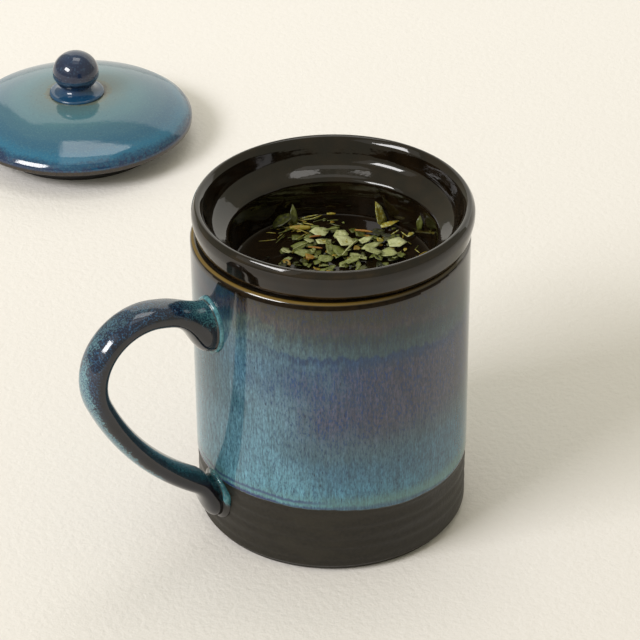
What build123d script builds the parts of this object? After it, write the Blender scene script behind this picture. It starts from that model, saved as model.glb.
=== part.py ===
"""Lidded tea mug with a ceramic infuser, in millimetres.

The mug stands on its foot ring at the origin, +Z up, with its handle along -X.
The infuser hangs in the mug's mouth. The lid lies on the same table, behind the mug.
"""
from build123d import *
from math import cos, radians, sin, sqrt
import os

# Mug body: a straight thrown cylinder on a trimmed foot ring
mug_radius = 43.0
mug_height = 98.4
mug_wall = 3.2
mug_floor = 5.0
lip_round = 1.4
foot_bevel = 1.5
foot_ring_width = 4.5
foot_recess = 1.8
inner_corner_round = 7.0

# Handle: an oval strap bent in one plane, flared where it is luted to the body
handle_thickness = 7.2
handle_width = 12.0
handle_top = 82.5
handle_start_angle = 20.8
shoulder_reach = 38.8
crest_share = 0.459
crest_rise = 6.1
shoulder_height = 63.7
handle_bottom = 18.1
handle_root = 3.0
flare_width = 17.0
upper_flare_height = 18.5
upper_flare_drop = 3.8
lower_flare_height = 15.0
lower_flare_drop = 2.0
upper_flare_reach = 0.16
lower_flare_reach = 0.90

# Infuser: a cup that hangs by its rim on the mug's lip, with a drilled floor
rim_overhang = 0.3
rim_height = 10.3
rim_edge_round = 1.5
rim_wall = 3.5
band_foot_inset = 0.6
band_foot_rise = 1.9
bearing_inset = 1.6
neck_clearance = 1.4
neck_depth = 2.6
seat_width = 2.2
seat_drop = 2.7
seat_depth = 2.6
cove_inset = 2.0
cove_drop = 7.5
shoulder_inset = 3.8
shoulder_drop = 10.1
basket_top_inset = 0.4
basket_top_drop = 16.2
basket_wall = 3.0
basket_depth = 64.0
basket_taper = 2.4
basket_floor = 3.2
basket_corner_round = 5.0
infuser_shift = 1.0
hole_diameter = 3.0
hole_pitch = 6.4
hole_rings = 3

# Lid: a shallow dome with a ring below that reaches down to the infuser's sloping ledge
lid_overhang = 1.5
lid_edge = 4.3
lid_edge_round = 1.2
lid_rise = 8.6
lid_thickness = 4.0
ring_height = 8.3
ring_clearance = 4.4
ring_wall = 3.2
ring_edge_round = 0.8
lid_gap = 170.3
lid_bearing = 81.1

# Knob: a slightly flattened ball on a waisted neck with a spread foot
knob_radius = 9.1
knob_height = 17.4
knob_flatness = 0.89
neck_radius = 6.2
knob_foot_radius = 10.7
knob_foot_edge = 0.9


def lathe_plane(x, y):
    """The upright plane through a vertical axis at x, y, drawn as radius across and height up."""
    return Plane(origin=(x, y, 0), x_dir=(1, 0, 0), z_dir=(0, -1, 0))


def ring_edges(part, height):
    """The circular edges of a turned part that lie at one height."""
    return part.edges().filter_by(GeomType.CIRCLE).group_by(lambda edge: abs(edge.center().Z - height))[0]


os.makedirs("parts", exist_ok=True)

# Mug body -----------------------------------------------------------------
mug_bore = mug_radius - mug_wall
floor_level = foot_recess + mug_floor
foot_radius = mug_radius - foot_bevel

with BuildPart() as mug_body:
    with BuildSketch(Plane.XZ):
        with BuildLine():
            Polyline(
                (0, foot_recess),
                (foot_radius - foot_ring_width, foot_recess),
                (foot_radius - foot_ring_width, 0),
                (foot_radius, 0),
                (mug_radius, foot_bevel),
                (mug_radius, mug_height),
                (mug_bore, mug_height),
                (mug_bore, floor_level),
                (0, floor_level),
                close=True,
            )
        make_face()
    revolve(axis=Axis.Z)
    fillet(ring_edges(mug_body, mug_height), lip_round)
    fillet(ring_edges(mug_body, floor_level), inner_corner_round)
    fillet(ring_edges(mug_body, foot_bevel), foot_bevel)
mug_body.part.label = "mug_body"
export_step(mug_body.part, "parts/mug_body.step")

# Handle -------------------------------------------------------------------
root_x = -(mug_radius - handle_root)
crest = (-(mug_radius + crest_share * shoulder_reach), handle_top + crest_rise)
shoulder = (-(mug_radius + shoulder_reach), shoulder_height)
start_direction = (-cos(radians(handle_start_angle)), sin(radians(handle_start_angle)))

with BuildPart() as handle:
    with BuildLine(Plane.XZ) as spine:
        crest_arc = TangentArc((root_x, handle_top), crest, tangent=start_direction)
        shoulder_arc = TangentArc(crest, shoulder, tangent=crest_arc % 1)
        TangentArc(shoulder, (root_x, handle_bottom), tangent=shoulder_arc % 1)
    spine_wire = spine.wires()[0]
    strap_path = spine_wire.trim(upper_flare_reach, lower_flare_reach)
    with BuildSketch(Plane(origin=strap_path @ 0, x_dir=(0, 1, 0), z_dir=strap_path % 0)):
        Ellipse(handle_width / 2, handle_thickness / 2)
    sweep(path=strap_path)
    for reach, level, flare_height, drop in (
        (upper_flare_reach, handle_top, upper_flare_height, upper_flare_drop),
        (lower_flare_reach, handle_bottom, lower_flare_height, lower_flare_drop),
    ):
        with BuildSketch(Plane(origin=spine_wire @ reach, x_dir=(0, 1, 0), z_dir=spine_wire % reach)):
            Ellipse(handle_width / 2, handle_thickness / 2)
        with BuildSketch(Plane(origin=(root_x, 0, level - drop), x_dir=(0, 1, 0), z_dir=(-1, 0, 0))):
            Ellipse(flare_width / 2, flare_height / 2)
        loft()
    with BuildSketch(Plane.XY):
        Circle(mug_radius)
    extrude(amount=mug_height, mode=Mode.SUBTRACT)
handle.part.label = "handle"
export_step(handle.part, "parts/handle.step")

# Infuser ------------------------------------------------------------------
rim_top = mug_height + rim_height
rim_radius = mug_radius + rim_overhang
rim_inner_radius = rim_radius - rim_wall
band_foot_radius = mug_radius - band_foot_inset
bearing_radius = mug_radius - bearing_inset
neck_radius_outer = mug_bore - neck_clearance
seat_radius = rim_inner_radius - seat_width
cove_radius = seat_radius - cove_inset
shoulder_radius = cove_radius - shoulder_inset
basket_top_radius = shoulder_radius - basket_top_inset
basket_foot_radius = basket_top_radius - basket_taper
seat_level = rim_top - seat_drop
basket_bottom = mug_height - basket_depth
basket_inside = basket_bottom + basket_floor
basket_top = rim_top - basket_top_drop
infuser_axis = Axis((infuser_shift, 0, 0), (0, 0, 1))

with BuildPart() as infuser:
    with BuildSketch(lathe_plane(infuser_shift, 0)):
        with BuildLine():
            Polyline(
                (0, basket_bottom),
                (basket_foot_radius + basket_wall, basket_bottom),
                (basket_top_radius + basket_wall, basket_top - neck_depth),
                (neck_radius_outer, mug_height - neck_depth),
                (neck_radius_outer, mug_height),
                (bearing_radius, mug_height),
                (band_foot_radius, mug_height + band_foot_rise),
                (rim_radius, rim_top - rim_edge_round),
                (rim_radius - rim_edge_round, rim_top),
                (rim_inner_radius, rim_top),
                (seat_radius, seat_level),
                (seat_radius, seat_level - seat_depth),
                (cove_radius, rim_top - cove_drop),
                (shoulder_radius, rim_top - shoulder_drop),
                (basket_top_radius, basket_top),
                (basket_foot_radius, basket_inside),
                (0, basket_inside),
                close=True,
            )
        make_face()
    revolve(axis=infuser_axis)
    fillet(ring_edges(infuser, basket_bottom), basket_corner_round)
    fillet(ring_edges(infuser, basket_inside), basket_corner_round - basket_floor / 2)
    with Locations((infuser_shift, 0, basket_inside)):
        Hole(hole_diameter / 2, depth=basket_floor)
    for ring in range(1, hole_rings + 1):
        with Locations((infuser_shift, 0, basket_inside)):
            with PolarLocations(ring * hole_pitch, 6 * ring):
                Hole(hole_diameter / 2, depth=basket_floor)
infuser.part.label = "infuser"
export_step(infuser.part, "parts/infuser.step")

# Lid ----------------------------------------------------------------------
lid_radius = rim_radius + lid_overhang
lid_distance = mug_radius + lid_gap + lid_radius
lid_x = lid_distance * cos(radians(lid_bearing))
lid_y = lid_distance * sin(radians(lid_bearing))
lid_axis = Axis((lid_x, lid_y, 0), (0, 0, 1))
ring_radius = seat_radius - ring_clearance
ring_bore = ring_radius - ring_wall
edge_top = ring_height + lid_edge
lid_top = edge_top + lid_rise


def dome_height(radius):
    """Height of the lid's upper face, an arc from the knob's landing to the rim."""
    run = lid_radius - knob_foot_radius
    arc_radius = (run**2 + lid_rise**2) / (2 * lid_rise)
    return lid_top - arc_radius + sqrt(arc_radius**2 - (radius - knob_foot_radius) ** 2)


with BuildPart() as lid:
    with BuildSketch(lathe_plane(lid_x, lid_y)):
        with BuildLine():
            upper_mid = (lid_radius + knob_foot_radius) / 2
            ThreePointArc(
                (lid_radius, edge_top),
                (upper_mid, dome_height(upper_mid)),
                (knob_foot_radius, lid_top),
            )
            Polyline(
                (knob_foot_radius, lid_top),
                (0, lid_top),
                (0, lid_top - lid_thickness),
                (knob_foot_radius, lid_top - lid_thickness),
            )
            under_mid = (ring_bore + knob_foot_radius) / 2
            ThreePointArc(
                (knob_foot_radius, lid_top - lid_thickness),
                (under_mid, dome_height(under_mid) - lid_thickness),
                (ring_bore, dome_height(ring_bore) - lid_thickness),
            )
            Polyline(
                (ring_bore, dome_height(ring_bore) - lid_thickness),
                (ring_bore, 0),
                (ring_radius, 0),
                (ring_radius, ring_height),
                (lid_radius, ring_height),
                (lid_radius, edge_top),
            )
        make_face()
    revolve(axis=lid_axis)
    fillet(ring_edges(lid, 0), ring_edge_round)
    fillet(ring_edges(lid, ring_height).sort_by(SortBy.LENGTH)[-1], lid_edge_round)
    fillet(ring_edges(lid, edge_top), lid_edge_round)
lid.part.label = "lid"
export_step(lid.part, "parts/lid.step")

# Knob ---------------------------------------------------------------------
ball_half_height = knob_radius * knob_flatness
ball_centre = lid_top + knob_height - ball_half_height
foot_edge_level = lid_top + knob_foot_edge
ball_top = lid_top + knob_height
brow = (knob_radius * cos(radians(45)), ball_centre + ball_half_height * sin(radians(45)))
neck_drop = ball_half_height * sqrt(1 - (neck_radius / knob_radius) ** 2)
neck = (neck_radius, ball_centre - neck_drop)

with BuildPart() as lid_knob:
    with BuildSketch(lathe_plane(lid_x, lid_y)):
        with BuildLine():
            crown = TangentArc((0, ball_top), brow, tangent=(1, 0))
            TangentArc(brow, (knob_radius, ball_centre), tangent=crown % 1)
            TangentArc((knob_radius, ball_centre), neck, tangent=(0, -1))
            TangentArc((knob_foot_radius, foot_edge_level), neck, tangent=(-1, 0))
            Polyline((knob_foot_radius, foot_edge_level), (knob_foot_radius, lid_top), (0, lid_top), (0, ball_top))
        make_face()
    revolve(axis=lid_axis)
lid_knob.part.label = "lid_knob"
export_step(lid_knob.part, "parts/lid_knob.step")
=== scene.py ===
"""Lidded tea mug with infuser: glazes, tea and leaves, floor, light and camera."""
import bpy
import math
import random
import numpy as np
from mathutils import Matrix, Vector


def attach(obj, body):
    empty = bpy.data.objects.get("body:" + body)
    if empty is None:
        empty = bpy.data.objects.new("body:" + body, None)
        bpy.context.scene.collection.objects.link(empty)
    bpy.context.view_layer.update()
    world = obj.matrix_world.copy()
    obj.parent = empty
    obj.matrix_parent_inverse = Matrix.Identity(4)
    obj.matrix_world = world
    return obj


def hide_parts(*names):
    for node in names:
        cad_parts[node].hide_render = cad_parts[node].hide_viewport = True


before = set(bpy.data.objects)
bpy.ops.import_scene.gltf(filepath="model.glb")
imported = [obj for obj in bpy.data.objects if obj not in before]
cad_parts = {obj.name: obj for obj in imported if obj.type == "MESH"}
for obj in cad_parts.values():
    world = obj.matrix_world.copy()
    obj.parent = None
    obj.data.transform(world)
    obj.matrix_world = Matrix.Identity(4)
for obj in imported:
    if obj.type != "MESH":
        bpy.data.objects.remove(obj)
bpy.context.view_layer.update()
MM = 0.001
scene = bpy.context.scene


# ---------------------------------------------------------------- colour
def linear(red, green, blue):
    """A linear colour from display values of 0 to 255."""
    out = []
    for value in (red, green, blue):
        v = value / 255
        out.append(v / 12.92 if v <= 0.04045 else ((v + 0.055) / 1.055) ** 2.4)
    return (*out, 1.0)


class Shader:
    """A node material with short calls for the nodes that the glazes use."""

    def __init__(self, name, roughness, ior=1.5):
        self.material = bpy.data.materials.new(name)
        self.material.use_nodes = True
        self.tree = self.material.node_tree
        self.tree.nodes.clear()
        self.output = self.node("ShaderNodeOutputMaterial")
        self.surface = self.node("ShaderNodeBsdfPrincipled")
        self.surface.inputs["Roughness"].default_value = roughness
        self.surface.inputs["IOR"].default_value = ior
        self.tree.links.new(self.surface.outputs[0], self.output.inputs["Surface"])
        self.coordinates = self.node("ShaderNodeTexCoord").outputs["Object"]

    def node(self, kind):
        return self.tree.nodes.new(kind)

    def link(self, source, socket):
        """Sets a socket to a number or a colour, or joins another node's output to it."""
        if isinstance(source, (int, float, tuple)):
            socket.default_value = source
        else:
            self.tree.links.new(source, socket)

    def attribute(self, name):
        """A number that the mesh carries at each vertex."""
        node = self.node("ShaderNodeAttribute")
        node.attribute_name = name
        return node.outputs["Fac"]

    def math(self, operation, a, b):
        node = self.node("ShaderNodeMath")
        node.operation = operation
        for value, socket in zip((a, b), node.inputs):
            self.link(value, socket)
        return node.outputs[0]

    def times(self, a, b):
        return self.math("MULTIPLY", a, b)

    def plus(self, a, b):
        return self.math("ADD", a, b)

    def height_mm(self):
        """The height in object space, in mm."""
        split = self.node("ShaderNodeSeparateXYZ")
        self.link(self.coordinates, split.inputs[0])
        return self.times(split.outputs["Z"], 1 / MM)

    def span(self, value, low, high, to_low=0.0, to_high=1.0, curve="SMOOTHSTEP"):
        """Maps low to high onto to_low to to_high, with eased ends."""
        node = self.node("ShaderNodeMapRange")
        node.interpolation_type = curve
        self.link(value, node.inputs["Value"])
        for name, number in (("From Min", low), ("From Max", high), ("To Min", to_low), ("To Max", to_high)):
            node.inputs[name].default_value = number
        return node.outputs["Result"]

    def spread(self, value, low, high, to_low, to_high):
        """Maps low to high onto to_low to to_high along a straight line."""
        return self.span(value, low, high, to_low, to_high, "LINEAR")

    def band(self, value, rise_from, rise_to, fall_from, fall_to):
        """1 between a rise and a fall of the value, and 0 outside them."""
        return self.times(self.span(value, rise_from, rise_to), self.span(value, fall_from, fall_to))

    def stretched(self, across, up, shift=0.0):
        """Object space, stretched sideways and along the height, and moved by shift."""
        mapping = self.node("ShaderNodeMapping")
        mapping.inputs["Scale"].default_value = (across, across, up)
        mapping.inputs["Location"].default_value = (shift, shift * 0.7, shift * 0.3)
        self.link(self.coordinates, mapping.inputs["Vector"])
        return mapping.outputs[0]

    def noise(self, scale, detail=3.0, rough=0.5, across=1.0, up=1.0, shift=0.0):
        place = self.stretched(across, up, shift)
        node = self.node("ShaderNodeTexNoise")
        node.inputs["Scale"].default_value = scale
        node.inputs["Detail"].default_value = detail
        node.inputs["Roughness"].default_value = rough
        self.link(place, node.inputs["Vector"])
        return node.outputs["Fac"]

    def cells(self, scale, up=1.0):
        """Distance to the nearest of scattered points."""
        place = self.stretched(1.0, up)
        node = self.node("ShaderNodeTexVoronoi")
        node.inputs["Scale"].default_value = scale
        self.link(place, node.inputs["Vector"])
        return node.outputs["Distance"]

    def ramp(self, value, stops):
        """A colour ramp; stops are (position, colour) pairs."""
        node = self.node("ShaderNodeValToRGB")
        ramp = node.color_ramp
        ramp.interpolation = "EASE"
        ramp.elements[0].position, ramp.elements[0].color = stops[0]
        ramp.elements[1].position, ramp.elements[1].color = stops[-1]
        for position, colour in stops[1:-1]:
            ramp.elements.new(position).color = colour
        self.link(value, node.inputs["Fac"])
        return node.outputs["Color"]

    def mix(self, factor, a, b):
        """The colour a at factor 0 and b at factor 1."""
        node = self.node("ShaderNodeMix")
        node.data_type = "RGBA"
        node.clamp_result = True
        self.link(factor, node.inputs[0])
        self.link(a, node.inputs[6])
        self.link(b, node.inputs[7])
        return node.outputs[2]

    def scale(self, colour, factor):
        """The colour made lighter or darker by a factor."""
        node = self.node("ShaderNodeVectorMath")
        node.operation = "SCALE"
        self.link(colour, node.inputs[0])
        self.link(factor, node.inputs["Scale"])
        return node.outputs[0]

    def bump(self, height, distance, strength=1.0):
        """Relief from a height of 0 to 1; distance is in metres."""
        node = self.node("ShaderNodeBump")
        node.inputs["Distance"].default_value = distance
        node.inputs["Strength"].default_value = strength
        self.link(height, node.inputs["Height"])
        self.tree.links.new(node.outputs[0], self.surface.inputs["Normal"])

    def colour(self, value):
        self.link(value, self.surface.inputs["Base Color"])

    def rough(self, value):
        self.link(value, self.surface.inputs["Roughness"])


# ---------------------------------------------------------------- shapes
def smooth_step(value, low, high):
    """0 below low and 1 above high, eased in between."""
    t = np.clip((value - low) / (high - low), 0, 1)
    return t * t * (3 - 2 * t)


def rounded(corners, spacing):
    """A 2-D outline in mm through (radius, height, fillet) corners, with its arcs and runs sampled."""
    points = [np.array(corners[0][:2], float)]
    for index in range(1, len(corners) - 1):
        corner = np.array(corners[index][:2], float)
        before = np.array(corners[index - 1][:2], float) - corner
        after = np.array(corners[index + 1][:2], float) - corner
        fillet = corners[index][2]
        if fillet <= 0:
            points.append(corner)
            continue
        u, v = before / np.linalg.norm(before), after / np.linalg.norm(after)
        angle = math.acos(float(np.clip(u @ v, -1, 1)))
        reach = fillet / math.tan(angle / 2)
        reach = min(reach, np.linalg.norm(before) * 0.499, np.linalg.norm(after) * 0.499)
        fillet = reach * math.tan(angle / 2)
        bisector = (u + v) / np.linalg.norm(u + v)
        centre = corner + bisector * (fillet / math.sin(angle / 2))
        start, end = corner + u * reach, corner + v * reach
        turn = math.pi - angle
        steps = max(3, int(math.ceil(turn * fillet / min(spacing, fillet * 0.22))))
        first, last = start - centre, end - centre
        sweep = math.atan2(first[0] * last[1] - first[1] * last[0], first @ last)
        for k in range(steps + 1):
            a = sweep * k / steps
            c, s = math.cos(a), math.sin(a)
            points.append(centre + np.array([first[0] * c - first[1] * s, first[0] * s + first[1] * c]))
    points.append(np.array(corners[-1][:2], float))
    out = [points[0]]
    for point in points[1:]:
        gap = np.linalg.norm(point - out[-1])
        if gap < 1e-6:
            continue
        steps = max(1, int(math.ceil(gap / spacing)))
        begin = out[-1]
        for k in range(1, steps + 1):
            out.append(begin + (point - begin) * k / steps)
    return out


def new_piece(name, vertices, faces):
    """A smooth-shaded object from vertices in metres."""
    mesh = bpy.data.meshes.new(name)
    mesh.from_pydata([tuple(v) for v in vertices], [], faces)
    mesh.update()
    mesh.polygons.foreach_set("use_smooth", [True] * len(mesh.polygons))
    piece = bpy.data.objects.new(name, mesh)
    scene.collection.objects.link(piece)
    return piece


def set_attribute(piece, name, values):
    """Stores one number per vertex for the materials."""
    layer = piece.data.attributes.new(name, "FLOAT", "POINT")
    layer.data.foreach_set("value", np.asarray(values, np.float32))


def axis_distance(piece, centre):
    """Each vertex's distance in mm from the upright axis at centre."""
    x = np.array([v.co.x for v in piece.data.vertices]) / MM - centre[0]
    y = np.array([v.co.y for v in piece.data.vertices]) / MM - centre[1]
    return np.hypot(x, y)


def lathe(name, outline, centre=(0.0, 0.0), segments=192, shape=None):
    """A closed turned piece from an outline that starts and ends on the axis.

    shape(angle, radius, height, index) may move each ring's points and returns radius and height.
    Gives the piece and, for each vertex, its angle, outline radius, height and outline index.
    """
    outline = [(float(r), float(z)) for r, z in outline]
    rings = outline[1:-1]
    angles = np.arange(segments) * 2 * math.pi / segments
    vertices = [(centre[0] * MM, centre[1] * MM, outline[0][1] * MM)]
    info = [(0.0, 0.0, outline[0][1], 0)]
    for index, (radius, height) in enumerate(rings, 1):
        r = np.full(segments, radius)
        z = np.full(segments, height)
        if shape:
            r, z = shape(angles, r, z, index)
        for angle, rr, zz in zip(angles, r, z):
            x, y = centre[0] + rr * math.cos(angle), centre[1] + rr * math.sin(angle)
            vertices.append((x * MM, y * MM, zz * MM))
            info.append((angle, rr, zz, index))
    vertices.append((centre[0] * MM, centre[1] * MM, outline[-1][1] * MM))
    info.append((0.0, 0.0, outline[-1][1], len(rings) + 1))
    faces = []
    last = len(vertices) - 1
    for k in range(segments):
        n = (k + 1) % segments
        faces.append((0, 1 + n, 1 + k))
        for ring in range(len(rings) - 1):
            a = 1 + ring * segments
            b = a + segments
            faces.append((a + k, a + n, b + n, b + k))
        a = 1 + (len(rings) - 1) * segments
        faces.append((a + k, a + n, last))
    piece = new_piece(name, vertices, faces)
    return piece, np.array(info)


# ---------------------------------------------------------------- mug body
# Lengths in mm; WALL is the outer radius, and GLAZE the depth of the bare clay below the glaze
WALL, BORE, HEIGHT = 43.0, 39.8, 98.4
FOOT_RECESS, FLOOR_LEVEL = 1.8, 6.8
GLAZE = 0.28
TURNING_DEPTH, TURNING_PITCH = 0.24, 4.1
FACING = 238.5  # the direction round the mug, in degrees, that the camera sees in the middle


def glaze_line(angle):
    """Height in mm at which the glaze was wiped off, round the mug."""
    waves = ((1, -0.96, -0.223), (2, -0.014, 0.506), (3, 0.184, -0.134), (4, -0.118, 0.079))
    height = 22.56
    for k, c, s in waves:
        height = height + c * np.cos(k * angle) + s * np.sin(k * angle)
    return height + 0.10 * np.sin(9 * angle + 1.0) + 0.06 * np.sin(17 * angle + 0.4)


def mug_shape(angle, radius, height, index):
    """Sinks the bare clay below the glaze and cuts its turning lines."""
    outside = radius > 41.6
    above = height - glaze_line(angle)
    spiral = 2 * math.pi * (height / TURNING_PITCH + angle / (2 * math.pi))
    turning = 0.5 - 0.5 * np.cos(spiral + 0.5 * np.sin(2 * angle + height))
    in_clay = smooth_step(height, 2.0, 6.0) * (1 - smooth_step(above, -1.5, 0.5))
    sink = (GLAZE + TURNING_DEPTH * turning * in_clay) * (1 - smooth_step(above, -0.35, 0.45))
    radius = radius - np.where(outside, sink, 0.0)
    return radius, height


mug_outline = rounded(
    [
        (0, FOOT_RECESS, 0), (37.0, FOOT_RECESS, 0.8), (37.0, 0.0, 0.7), (40.8, 0.0, 0.6), (WALL, 2.4, 1.0),
        (WALL, HEIGHT, 2.8), (BORE, HEIGHT, 0.2), (BORE, FLOOR_LEVEL, 7.0), (0, FLOOR_LEVEL, 0),
    ],
    0.5,
)
# Finer steps up the wall, finest at the glaze's lower edge
dense = []
for (r0, z0), (r1, z1) in zip(mug_outline[:-1], mug_outline[1:]):
    steps = 1
    if r0 > 42.9 and r1 > 42.9 and z1 > z0:
        gap = 0.3 if 19.5 < z0 < 26.5 else 0.55 if z0 < 19.5 else 1.6
        steps = max(1, int(math.ceil((z1 - z0) / gap)))
    for k in range(steps):
        dense.append((r0 + (r1 - r0) * k / steps, z0 + (z1 - z0) * k / steps))
dense.append(tuple(mug_outline[-1]))
mug_shell, info = lathe("mug_shell", dense, segments=320, shape=mug_shape)
polar, ring_height, outline_index = info[:, 0], info[:, 2], info[:, 3]
top_index = outline_index[np.argmax(ring_height)]
set_attribute(mug_shell, "above", np.where(outline_index > top_index, 60.0, ring_height - glaze_line(polar)))
set_attribute(mug_shell, "inner", (outline_index > top_index).astype(float))
turned = np.degrees((polar - math.radians(FACING) + math.pi) % (2 * math.pi) - math.pi)
set_attribute(mug_shell, "turned", turned)
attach(mug_shell, "mug")
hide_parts("mug_body")

glaze = Shader("body_reactive_glaze", 0.07, 1.6)
above = glaze.attribute("above")
turned_node = glaze.attribute("turned")
height = glaze.height_mm()
slow = glaze.noise(26.0, 3.0, 0.55, up=1.6)
runs = glaze.noise(420.0, 3.0, 0.6, up=0.13)
threads = glaze.noise(1500.0, 2.0, 0.6, up=0.10, shift=5.0)
fine = glaze.noise(1250.0, 4.0, 0.7, up=0.30)
wave = glaze.noise(60.0, 2.0, 0.5, up=0.05, shift=2.0)
warped = glaze.plus(height, glaze.spread(slow, 0.3, 0.7, -2.6, 2.6))
warped = glaze.plus(warped, glaze.spread(runs, 0.25, 0.75, -2.2, 2.2))
warped = glaze.plus(warped, glaze.spread(fine, 0.25, 0.75, -1.2, 1.2))
share = glaze.times(warped, 0.01)
# Both ramps carry the glaze's own zones up the height. The lighter one is used on the lamp's side, left of the view;
# the darker one is painted shade on the front and right.
lit_side_glaze = glaze.ramp(share, [
    (0.245, linear(82, 126, 134)), (0.30, linear(84, 130, 148)), (0.40, linear(84, 124, 142)),
    (0.60, linear(82, 114, 130)), (0.74, linear(70, 104, 124)), (0.83, linear(68, 94, 104)),
    (0.89, linear(62, 74, 72)), (0.935, linear(50, 49, 40)), (0.965, linear(38, 33, 24))])
front_glaze_painted_shade = glaze.ramp(share, [
    (0.245, linear(66, 108, 122)), (0.30, linear(62, 108, 130)), (0.37, linear(58, 98, 120)),
    (0.47, linear(62, 90, 104)), (0.58, linear(48, 64, 82)), (0.70, linear(28, 56, 82)),
    (0.775, linear(20, 56, 84)), (0.80, linear(36, 62, 72)), (0.88, linear(38, 50, 52)),
    (0.93, linear(38, 40, 34)), (0.965, linear(32, 26, 18))])
cloudy = glaze.plus(turned_node, glaze.spread(slow, 0.3, 0.7, -16.0, 16.0))
cloudy = glaze.plus(cloudy, glaze.spread(runs, 0.3, 0.7, -6.0, 6.0))
# front picks the darker ramp, with its painted shade, for the front and right of the view
front = glaze.band(cloudy, -28.0, 6.0, 120.0, 84.0)
base = glaze.mix(front, lit_side_glaze, front_glaze_painted_shade)
# Painted reflection and shade of the handle on the wall: darker teal beside it, and dark navy beside the upper join
painted_handle_reflection = glaze.times(glaze.span(cloudy, -34.0, -46.0), glaze.span(warped, 46.0, 58.0))
base = glaze.mix(glaze.times(painted_handle_reflection, 0.5), base, linear(34, 78, 92))
painted_join_reflection = glaze.times(glaze.span(cloudy, -34.0, -48.0), glaze.span(warped, 80.0, 88.0))
base = glaze.mix(glaze.times(painted_join_reflection, 0.75), base, linear(16, 30, 48))
middle = glaze.band(height, 42.0, 58.0, 80.0, 72.0)
brownish = glaze.band(cloudy, 6.0, 28.0, 90.0, 60.0)
base = glaze.mix(glaze.times(glaze.times(brownish, middle), 0.55), base, linear(64, 64, 64))
flecks = glaze.noise(1900.0, 3.0, 0.7, up=0.34, shift=3.0)
violet = glaze.times(glaze.times(front, middle), glaze.span(flecks, 0.47, 0.56))
base = glaze.mix(glaze.times(violet, 0.55), base, linear(74, 68, 94))
blue = glaze.times(glaze.plus(0.35, glaze.times(front, middle)), glaze.span(flecks, 0.46, 0.38))
base = glaze.mix(glaze.times(blue, 0.78), base, linear(28, 66, 128))
line = glaze.plus(height, glaze.times(glaze.math("MINIMUM", glaze.math("MAXIMUM", turned_node, -16.0), 24.0), 0.10))
line = glaze.plus(line, glaze.spread(wave, 0.3, 0.7, -2.2, 2.2))
line = glaze.plus(line, glaze.spread(runs, 0.3, 0.7, -1.4, 1.4))
streak = glaze.band(line, 76.0, 78.9, 80.0, 79.2)
streak = glaze.times(streak, glaze.span(flecks, 0.40, 0.60, 1.0, 0.6))
streak = glaze.times(streak, glaze.span(turned_node, -34.0, -8.0, 0.25, 0.95))
base = glaze.mix(streak, base, linear(20, 52, 90))
haze = glaze.band(line, 79.2, 80.4, 86.0, 81.5)
base = glaze.mix(glaze.times(haze, 0.12), base, linear(86, 106, 104))
rust = glaze.band(line, 87.0, 89.0, 93.0, 90.0)
base = glaze.mix(glaze.times(rust, 0.3), base, linear(70, 54, 62))
depth = glaze.times(glaze.spread(runs, 0.25, 0.75, 0.80, 1.20), glaze.spread(threads, 0.25, 0.75, 0.70, 1.30))
depth = glaze.times(depth, glaze.spread(flecks, 0.25, 0.75, 0.38, 1.62))
base = glaze.scale(base, depth)
specks = glaze.cells(420.0, up=0.35)
base = glaze.mix(glaze.span(specks, 0.12, 0.05, 0.0, 0.75), base, linear(20, 28, 52))
left = glaze.span(turned_node, 8.0, -18.0)
ragged = glaze.plus(above, glaze.spread(wave, 0.3, 0.7, -0.9, 0.7))
ragged = glaze.plus(ragged, glaze.spread(flecks, 0.25, 0.75, -0.35, 0.35))
fringe = glaze.times(glaze.span(above, 0.0, 0.3), glaze.span(ragged, 1.7, 0.5))
second = glaze.band(ragged, 2.0, 2.7, 3.7, 2.9)
edge_pale = glaze.band(above, 0.6, 1.8, 6.5, 2.4)
edge_pale = glaze.times(edge_pale, glaze.span(turned_node, -10.0, 30.0, 0.20, 0.50))
base = glaze.mix(edge_pale, base, linear(100, 140, 134))
base = glaze.mix(glaze.times(fringe, glaze.plus(0.35, glaze.times(left, 0.6))), base, linear(40, 46, 96))
base = glaze.mix(glaze.times(second, glaze.times(left, 0.75)), base, linear(48, 58, 104))
lip = glaze.span(glaze.plus(height, glaze.spread(runs, 0.3, 0.7, -0.25, 0.25)), 95.5, 96.3)
base = glaze.mix(lip, base, linear(20, 12, 3))
gild = glaze.band(height, 97.7, 98.0, 98.39, 98.3)
gild = glaze.times(gild, glaze.span(turned_node, -6.0, 36.0, 1.0, 0.3))
base = glaze.mix(gild, base, linear(104, 82, 30))
clay_grain = glaze.noise(700.0, 4.0, 0.6)
clay = glaze.mix(glaze.span(clay_grain, 0.3, 0.7), linear(16, 14, 10), linear(22, 19, 14))
edge_noise = glaze.plus(above, glaze.spread(runs, 0.3, 0.7, -0.25, 0.25))
coated = glaze.span(edge_noise, -0.1, 0.15)
colour = glaze.mix(coated, clay, base)
colour = glaze.mix(glaze.attribute("inner"), colour, linear(22, 18, 14))
glaze.colour(colour)
glaze.rough(glaze.span(edge_noise, -0.1, 0.3, 0.36, 0.06))
ripples = glaze.times(glaze.math("SUBTRACT", 1.0, coated), clay_grain)
glaze.bump(glaze.plus(ripples, glaze.times(fine, 0.06)), 0.00012)
mug_shell.data.materials.append(glaze.material)

bare = Shader("bare_dark_clay", 0.42, 1.42)
grit = bare.noise(900.0, 4.0, 0.65)
smear = bare.noise(60.0, 3.0, 0.5, up=3.0)
bare_colour = bare.mix(bare.span(grit, 0.3, 0.7), linear(24, 21, 15), linear(37, 33, 25))
bare.colour(bare.mix(bare.span(smear, 0.45, 0.7, 0.0, 0.5), bare_colour, linear(44, 40, 31)))
bare.rough(bare.span(smear, 0.3, 0.7, 0.36, 0.50))
bare.bump(grit, 0.00012)
mug_shell.data.materials.append(bare.material)
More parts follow.
